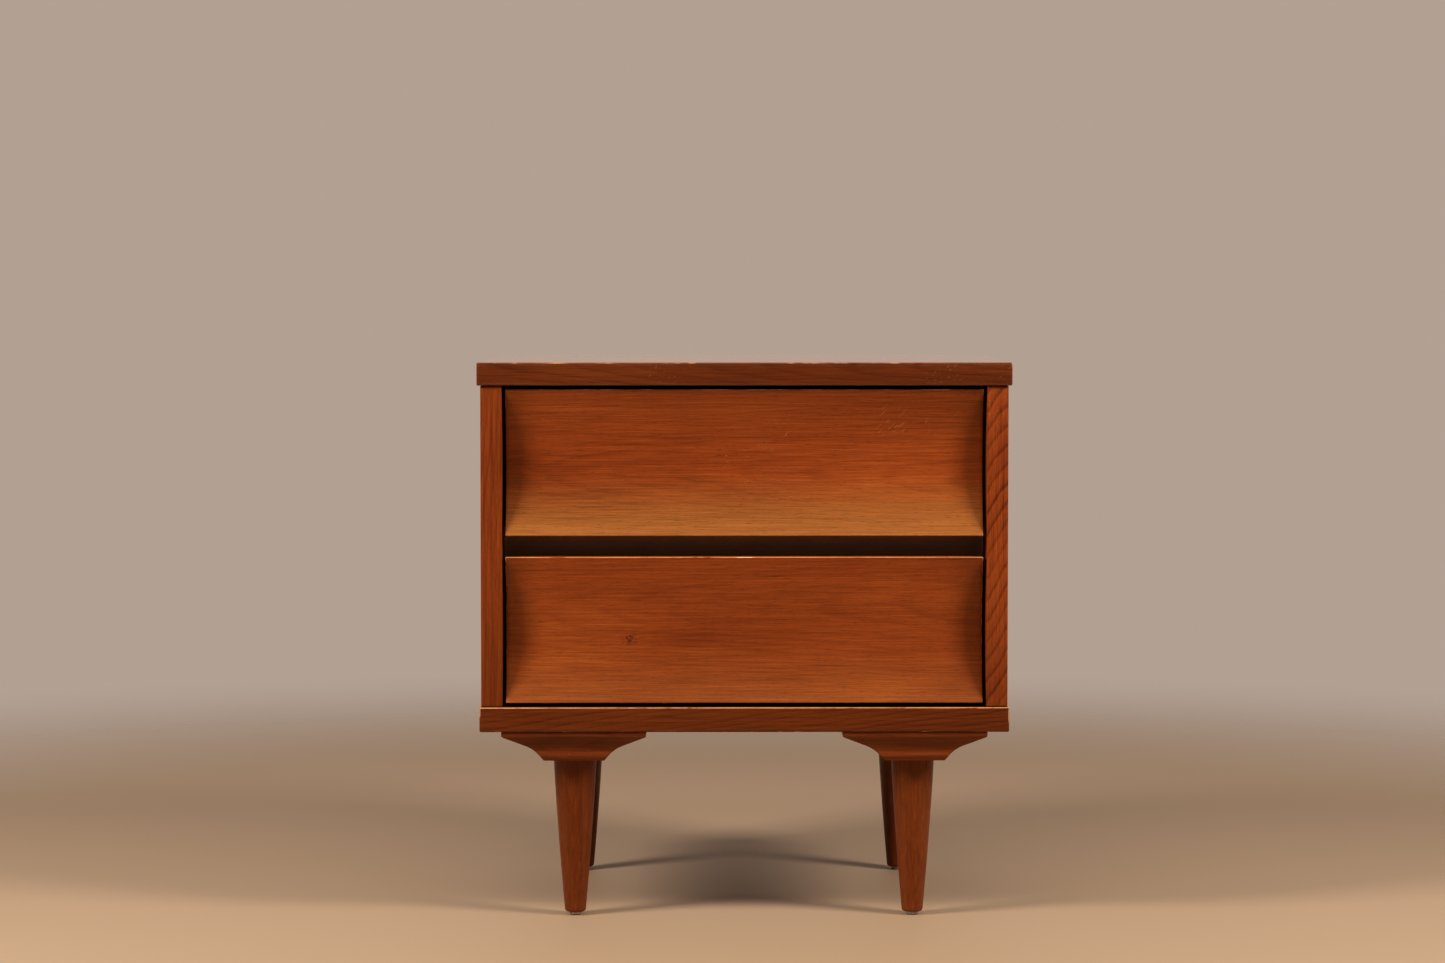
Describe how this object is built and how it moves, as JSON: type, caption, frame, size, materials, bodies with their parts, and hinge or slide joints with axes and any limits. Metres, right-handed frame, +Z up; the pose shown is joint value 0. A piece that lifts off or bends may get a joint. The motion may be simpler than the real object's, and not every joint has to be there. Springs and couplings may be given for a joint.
{
  "type": "two-drawer nightstand",
  "caption": "Walnut nightstand with scooped drawer fronts pulled by their lips, a slab top and base, moulded leg blocks and tapered round legs.",
  "frame": {"origin": "on the floor, below the middle of the top panel", "axes": "+Z up, +X to the right of someone facing the drawers, -Y towards that person, the way the drawers open"},
  "size_m": [0.5588, 0.4064, 0.5874],
  "materials": {
    "walnut_top": "satin lacquered walnut veneer, grain along the width, worn front edges",
    "walnut_side": "satin lacquered walnut veneer, grain upright",
    "walnut_front": "satin lacquered walnut veneer on bent plywood, grain along the width",
    "walnut_leg": "satin lacquered solid walnut",
    "stained_rail": "dark stained matte wood",
    "frame_wood": "bare planed hardwood",
    "drawer_wood": "sealed pale hardwood",
    "drawer_plywood": "sealed plywood",
    "back_board": "bare hardboard",
    "bolt_steel": "zinc plated",
    "screw_brass": "dulled brass",
    "glide_steel": "worn nickel plate",
    "nylon": "natural nylon"
  },
  "bodies": {
    "case": {"top_panel": "walnut_top", "base_panel": "walnut_top", "left_side_panel": "walnut_side", "right_side_panel": "walnut_side", "back_panel": "back_board", "back_screw_left_1": "screw_brass", "back_screw_left_2": "screw_brass", "back_screw_left_3": "screw_brass", "back_screw_right_1": "screw_brass", "back_screw_right_2": "screw_brass", "back_screw_right_3": "screw_brass", "front_divider_rail": "stained_rail", "rear_divider_rail": "frame_wood", "lower_front_rail": "frame_wood", "upper_left_tack": "nylon", "upper_right_tack": "nylon", "lower_left_tack": "nylon", "lower_right_tack": "nylon", "upper_left_runner": "frame_wood", "upper_right_runner": "frame_wood", "lower_left_runner": "frame_wood", "lower_right_runner": "frame_wood", "upper_center_guide": "frame_wood", "lower_center_guide": "frame_wood", "left_kicker": "frame_wood", "right_kicker": "frame_wood", "front_left_leg_block": "walnut_leg", "front_right_leg_block": "walnut_leg", "rear_left_leg_block": "walnut_leg", "rear_right_leg_block": "walnut_leg", "front_left_leg": "walnut_leg", "front_right_leg": "walnut_leg", "rear_left_leg": "walnut_leg", "rear_right_leg": "walnut_leg", "front_left_hanger_bolt": "bolt_steel", "front_right_hanger_bolt": "bolt_steel", "rear_left_hanger_bolt": "bolt_steel", "rear_right_hanger_bolt": "bolt_steel", "front_left_glide": "glide_steel", "front_right_glide": "glide_steel", "rear_left_glide": "glide_steel", "rear_right_glide": "glide_steel"},
    "upper_drawer": {"upper_front": "walnut_front", "upper_drawer_left_side": "drawer_wood", "upper_drawer_right_side": "drawer_wood", "upper_drawer_back": "drawer_wood", "upper_drawer_bottom": "drawer_plywood", "upper_guide_shoe": "frame_wood", "upper_shoe_screw_left": "screw_brass", "upper_shoe_screw_right": "screw_brass"},
    "lower_drawer": {"lower_front": "walnut_front", "lower_drawer_left_side": "drawer_wood", "lower_drawer_right_side": "drawer_wood", "lower_drawer_back": "drawer_wood", "lower_drawer_bottom": "drawer_plywood", "lower_guide_shoe": "frame_wood", "lower_shoe_screw_left": "screw_brass", "lower_shoe_screw_right": "screw_brass"}
  },
  "joints": [
    {"name": "upper_drawer_slide", "type": "slide", "parent": "case", "child": "upper_drawer", "axis": [0, -1, 0], "range_m": [0, 0.28]},
    {"name": "lower_drawer_slide", "type": "slide", "parent": "case", "child": "lower_drawer", "axis": [0, -1, 0], "range_m": [0, 0.28]}
  ]
}
